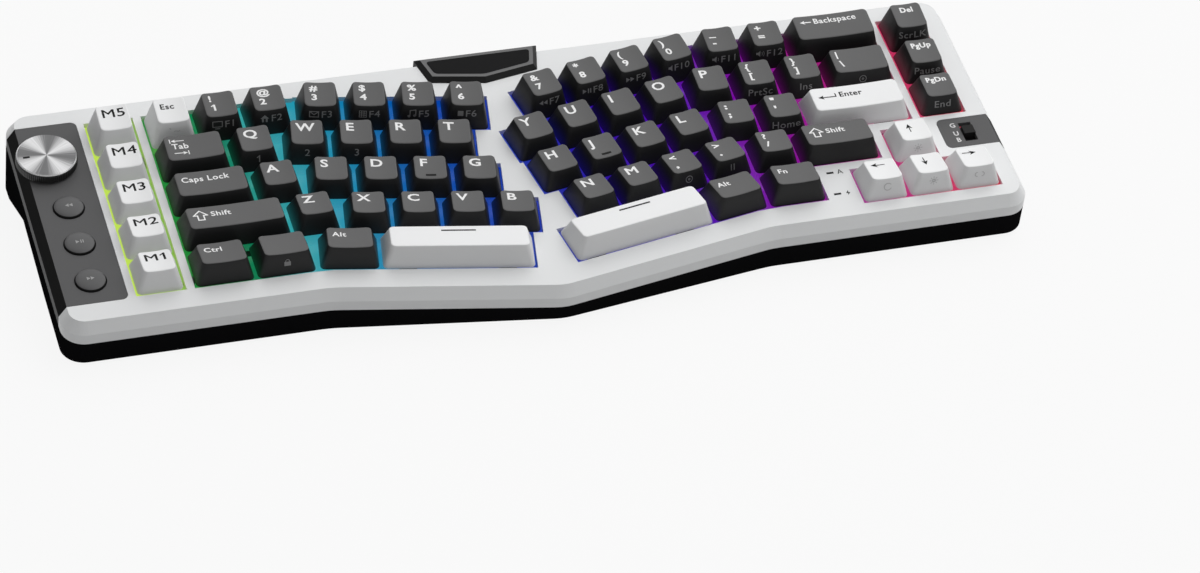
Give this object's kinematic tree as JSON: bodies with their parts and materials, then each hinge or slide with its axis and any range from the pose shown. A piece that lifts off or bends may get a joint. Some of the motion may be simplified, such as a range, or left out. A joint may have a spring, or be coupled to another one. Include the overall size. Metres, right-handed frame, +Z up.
{
  "type": "split ergonomic keyboard",
  "caption": "Split ergonomic computer keyboard with a macro column, media strip with volume knob, sprung keys, mode slider and two-stage flip feet.",
  "frame": {"origin": "middle of the bounding box, on the table plane under the rubber pads", "axes": "+X to the typist's right along the case, +Y to the rear edge, +Z up; the deck slopes up to the rear"},
  "size_m": [0.3842, 0.1363, 0.0439],
  "materials": {
    "white_plastic": "satin",
    "black_plastic": "matte",
    "black_panel": "gloss",
    "badge_plastic": "gloss",
    "silver_plate": "satin",
    "rubber_pads": "matte",
    "steel_plate": "satin",
    "switch_plastic": "satin",
    "stabiliser_plastic": "satin",
    "board": "satin",
    "battery_wrap": "satin",
    "light_window": "satin",
    "screw_steel": "satin",
    "socket_steel": "satin",
    "knob_metal": "brushed",
    "shaft_metal": "satin",
    "button_plastic": "satin",
    "slider_plastic": "satin",
    "light_keycap": "matte",
    "dark_keycap": "matte"
  },
  "bodies": {
    "case": {"top_shell": "white_plastic", "bottom_tray": "black_plastic", "media_panel": "black_panel", "slider_panel": "black_panel", "badge_tab": "badge_plastic", "underside_plate": "silver_plate", "rubber_feet": "rubber_pads", "switch_plate": "steel_plate", "switch_housings": "switch_plastic", "stabilisers": "stabiliser_plastic", "circuit_board": "board", "battery": "battery_wrap", "light_windows": "light_window", "case_screws": "screw_steel", "usb_socket": "socket_steel"},
    "key_m1": {"key_m1": "light_keycap"},
    "key_m2": {"key_m2": "light_keycap"},
    "key_m3": {"key_m3": "light_keycap"},
    "key_m4": {"key_m4": "light_keycap"},
    "key_m5": {"key_m5": "light_keycap"},
    "key_escape": {"key_escape": "light_keycap"},
    "key_left_space": {"key_left_space": "light_keycap"},
    "key_right_space": {"key_right_space": "light_keycap"},
    "key_enter": {"key_enter": "light_keycap"},
    "key_up": {"key_up": "light_keycap"},
    "key_left": {"key_left": "light_keycap"},
    "key_down": {"key_down": "light_keycap"},
    "key_right": {"key_right": "light_keycap"},
    "key_tab": {"key_tab": "dark_keycap"},
    "key_caps_lock": {"key_caps_lock": "dark_keycap"},
    "key_left_shift": {"key_left_shift": "dark_keycap"},
    "key_left_control": {"key_left_control": "dark_keycap"},
    "key_system": {"key_system": "dark_keycap"},
    "key_left_alt": {"key_left_alt": "dark_keycap"},
    "keys_left_number_row": {"keys_left_number_row": "dark_keycap"},
    "keys_left_upper_row": {"keys_left_upper_row": "dark_keycap"},
    "keys_left_home_row": {"keys_left_home_row": "dark_keycap"},
    "keys_left_lower_row": {"keys_left_lower_row": "dark_keycap"},
    "keys_right_number_row": {"keys_right_number_row": "dark_keycap"},
    "keys_right_upper_row": {"keys_right_upper_row": "dark_keycap"},
    "keys_right_home_row": {"keys_right_home_row": "dark_keycap"},
    "keys_right_lower_row": {"keys_right_lower_row": "dark_keycap"},
    "key_backspace": {"key_backspace": "dark_keycap"},
    "key_backslash": {"key_backslash": "dark_keycap"},
    "key_right_shift": {"key_right_shift": "dark_keycap"},
    "key_right_alt": {"key_right_alt": "dark_keycap"},
    "key_fn": {"key_fn": "dark_keycap"},
    "key_delete": {"key_delete": "dark_keycap"},
    "key_page_up": {"key_page_up": "dark_keycap"},
    "key_page_down": {"key_page_down": "dark_keycap"},
    "previous_button": {"previous_button": "button_plastic"},
    "play_button": {"play_button": "button_plastic"},
    "next_button": {"next_button": "button_plastic"},
    "encoder_shaft": {"encoder_shaft": "shaft_metal"},
    "volume_knob": {"volume_knob": "knob_metal"},
    "mode_slider": {"mode_slider": "slider_plastic"},
    "left_outer_foot": {"left_outer_foot": "black_plastic"},
    "left_inner_foot": {"left_inner_foot": "black_plastic"},
    "right_outer_foot": {"right_outer_foot": "black_plastic"},
    "right_inner_foot": {"right_inner_foot": "black_plastic"}
  },
  "joints": [
    {"name": "key_m1_press", "type": "slide", "parent": "case", "child": "key_m1", "axis": [0, 0.1132, -0.9936], "range_m": [0, 0.004], "stiffness_N_per_m": 120, "springref_m": -0.003},
    {"name": "key_m2_press", "type": "slide", "parent": "case", "child": "key_m2", "axis": [0, 0.1132, -0.9936], "range_m": [0, 0.004], "stiffness_N_per_m": 120, "springref_m": -0.003},
    {"name": "key_m3_press", "type": "slide", "parent": "case", "child": "key_m3", "axis": [0, 0.1132, -0.9936], "range_m": [0, 0.004], "stiffness_N_per_m": 120, "springref_m": -0.003},
    {"name": "key_m4_press", "type": "slide", "parent": "case", "child": "key_m4", "axis": [0, 0.1132, -0.9936], "range_m": [0, 0.004], "stiffness_N_per_m": 120, "springref_m": -0.003},
    {"name": "key_m5_press", "type": "slide", "parent": "case", "child": "key_m5", "axis": [0, 0.1132, -0.9936], "range_m": [0, 0.004], "stiffness_N_per_m": 120, "springref_m": -0.003},
    {"name": "key_escape_press", "type": "slide", "parent": "case", "child": "key_escape", "axis": [0, 0.1132, -0.9936], "range_m": [0, 0.004], "stiffness_N_per_m": 120, "springref_m": -0.003},
    {"name": "key_left_space_press", "type": "slide", "parent": "case", "child": "key_left_space", "axis": [0, 0.1132, -0.9936], "range_m": [0, 0.004], "stiffness_N_per_m": 120, "springref_m": -0.003},
    {"name": "key_right_space_press", "type": "slide", "parent": "case", "child": "key_right_space", "axis": [0, 0.1132, -0.9936], "range_m": [0, 0.004], "stiffness_N_per_m": 120, "springref_m": -0.003},
    {"name": "key_enter_press", "type": "slide", "parent": "case", "child": "key_enter", "axis": [0, 0.1132, -0.9936], "range_m": [0, 0.004], "stiffness_N_per_m": 120, "springref_m": -0.003},
    {"name": "key_up_press", "type": "slide", "parent": "case", "child": "key_up", "axis": [0, 0.1132, -0.9936], "range_m": [0, 0.004], "stiffness_N_per_m": 120, "springref_m": -0.003},
    {"name": "key_left_press", "type": "slide", "parent": "case", "child": "key_left", "axis": [0, 0.1132, -0.9936], "range_m": [0, 0.004], "stiffness_N_per_m": 120, "springref_m": -0.003},
    {"name": "key_down_press", "type": "slide", "parent": "case", "child": "key_down", "axis": [0, 0.1132, -0.9936], "range_m": [0, 0.004], "stiffness_N_per_m": 120, "springref_m": -0.003},
    {"name": "key_right_press", "type": "slide", "parent": "case", "child": "key_right", "axis": [0, 0.1132, -0.9936], "range_m": [0, 0.004], "stiffness_N_per_m": 120, "springref_m": -0.003},
    {"name": "key_tab_press", "type": "slide", "parent": "case", "child": "key_tab", "axis": [0, 0.1132, -0.9936], "range_m": [0, 0.004], "stiffness_N_per_m": 120, "springref_m": -0.003},
    {"name": "key_caps_lock_press", "type": "slide", "parent": "case", "child": "key_caps_lock", "axis": [0, 0.1132, -0.9936], "range_m": [0, 0.004], "stiffness_N_per_m": 120, "springref_m": -0.003},
    {"name": "key_left_shift_press", "type": "slide", "parent": "case", "child": "key_left_shift", "axis": [0, 0.1132, -0.9936], "range_m": [0, 0.004], "stiffness_N_per_m": 120, "springref_m": -0.003},
    {"name": "key_left_control_press", "type": "slide", "parent": "case", "child": "key_left_control", "axis": [0, 0.1132, -0.9936], "range_m": [0, 0.004], "stiffness_N_per_m": 120, "springref_m": -0.003},
    {"name": "key_system_press", "type": "slide", "parent": "case", "child": "key_system", "axis": [0, 0.1132, -0.9936], "range_m": [0, 0.004], "stiffness_N_per_m": 120, "springref_m": -0.003},
    {"name": "key_left_alt_press", "type": "slide", "parent": "case", "child": "key_left_alt", "axis": [0, 0.1132, -0.9936], "range_m": [0, 0.004], "stiffness_N_per_m": 120, "springref_m": -0.003},
    {"name": "keys_left_number_row_press", "type": "slide", "parent": "case", "child": "keys_left_number_row", "axis": [0, 0.1132, -0.9936], "range_m": [0, 0.004], "stiffness_N_per_m": 120, "springref_m": -0.003},
    {"name": "keys_left_upper_row_press", "type": "slide", "parent": "case", "child": "keys_left_upper_row", "axis": [0, 0.1132, -0.9936], "range_m": [0, 0.004], "stiffness_N_per_m": 120, "springref_m": -0.003},
    {"name": "keys_left_home_row_press", "type": "slide", "parent": "case", "child": "keys_left_home_row", "axis": [0, 0.1132, -0.9936], "range_m": [0, 0.004], "stiffness_N_per_m": 120, "springref_m": -0.003},
    {"name": "keys_left_lower_row_press", "type": "slide", "parent": "case", "child": "keys_left_lower_row", "axis": [0, 0.1132, -0.9936], "range_m": [0, 0.004], "stiffness_N_per_m": 120, "springref_m": -0.003},
    {"name": "keys_right_number_row_press", "type": "slide", "parent": "case", "child": "keys_right_number_row", "axis": [0, 0.1132, -0.9936], "range_m": [0, 0.004], "stiffness_N_per_m": 120, "springref_m": -0.003},
    {"name": "keys_right_upper_row_press", "type": "slide", "parent": "case", "child": "keys_right_upper_row", "axis": [0, 0.1132, -0.9936], "range_m": [0, 0.004], "stiffness_N_per_m": 120, "springref_m": -0.003},
    {"name": "keys_right_home_row_press", "type": "slide", "parent": "case", "child": "keys_right_home_row", "axis": [0, 0.1132, -0.9936], "range_m": [0, 0.004], "stiffness_N_per_m": 120, "springref_m": -0.003},
    {"name": "keys_right_lower_row_press", "type": "slide", "parent": "case", "child": "keys_right_lower_row", "axis": [0, 0.1132, -0.9936], "range_m": [0, 0.004], "stiffness_N_per_m": 120, "springref_m": -0.003},
    {"name": "key_backspace_press", "type": "slide", "parent": "case", "child": "key_backspace", "axis": [0, 0.1132, -0.9936], "range_m": [0, 0.004], "stiffness_N_per_m": 120, "springref_m": -0.003},
    {"name": "key_backslash_press", "type": "slide", "parent": "case", "child": "key_backslash", "axis": [0, 0.1132, -0.9936], "range_m": [0, 0.004], "stiffness_N_per_m": 120, "springref_m": -0.003},
    {"name": "key_right_shift_press", "type": "slide", "parent": "case", "child": "key_right_shift", "axis": [0, 0.1132, -0.9936], "range_m": [0, 0.004], "stiffness_N_per_m": 120, "springref_m": -0.003},
    {"name": "key_right_alt_press", "type": "slide", "parent": "case", "child": "key_right_alt", "axis": [0, 0.1132, -0.9936], "range_m": [0, 0.004], "stiffness_N_per_m": 120, "springref_m": -0.003},
    {"name": "key_fn_press", "type": "slide", "parent": "case", "child": "key_fn", "axis": [0, 0.1132, -0.9936], "range_m": [0, 0.004], "stiffness_N_per_m": 120, "springref_m": -0.003},
    {"name": "key_delete_press", "type": "slide", "parent": "case", "child": "key_delete", "axis": [0, 0.1132, -0.9936], "range_m": [0, 0.004], "stiffness_N_per_m": 120, "springref_m": -0.003},
    {"name": "key_page_up_press", "type": "slide", "parent": "case", "child": "key_page_up", "axis": [0, 0.1132, -0.9936], "range_m": [0, 0.004], "stiffness_N_per_m": 120, "springref_m": -0.003},
    {"name": "key_page_down_press", "type": "slide", "parent": "case", "child": "key_page_down", "axis": [0, 0.1132, -0.9936], "range_m": [0, 0.004], "stiffness_N_per_m": 120, "springref_m": -0.003},
    {"name": "previous_button_press", "type": "slide", "parent": "case", "child": "previous_button", "axis": [0, 0.1132, -0.9936], "range_m": [0, 0.0008], "stiffness_N_per_m": 600, "springref_m": -0.0005},
    {"name": "play_button_press", "type": "slide", "parent": "case", "child": "play_button", "axis": [0, 0.1132, -0.9936], "range_m": [0, 0.0008], "stiffness_N_per_m": 600, "springref_m": -0.0005},
    {"name": "next_button_press", "type": "slide", "parent": "case", "child": "next_button", "axis": [0, 0.1132, -0.9936], "range_m": [0, 0.0008], "stiffness_N_per_m": 600, "springref_m": -0.0005},
    {"name": "volume_turn", "type": "hinge", "parent": "case", "child": "encoder_shaft", "pos_m": [-0.18025, 0.03413, 0.03079], "axis": [0, -0.1132, 0.9936], "continuous": true},
    {"name": "volume_press", "type": "slide", "parent": "encoder_shaft", "child": "volume_knob", "axis": [0, 0.1132, -0.9936], "range_m": [0, 0.0005], "stiffness_N_per_m": 800, "springref_m": -0.0005},
    {"name": "mode_slide", "type": "slide", "parent": "case", "child": "mode_slider", "axis": [0, 0.9936, 0.1132], "range_m": [-0.0029, 0.0029]},
    {"name": "left_outer_foot_hinge", "type": "hinge", "parent": "case", "child": "left_outer_foot", "pos_m": [-0.1619, 0.05164, 0.0032], "axis": [1, 0, 0], "range_deg": [0, 95]},
    {"name": "left_inner_foot_hinge", "type": "hinge", "parent": "case", "child": "left_inner_foot", "pos_m": [-0.1619, 0.05164, 0.0032], "axis": [1, 0, 0], "range_deg": [0, 95]},
    {"name": "right_outer_foot_hinge", "type": "hinge", "parent": "case", "child": "right_outer_foot", "pos_m": [0.1626, 0.05164, 0.0032], "axis": [1, 0, 0], "range_deg": [0, 95]},
    {"name": "right_inner_foot_hinge", "type": "hinge", "parent": "case", "child": "right_inner_foot", "pos_m": [0.1626, 0.05164, 0.0032], "axis": [1, 0, 0], "range_deg": [0, 95]}
  ]
}
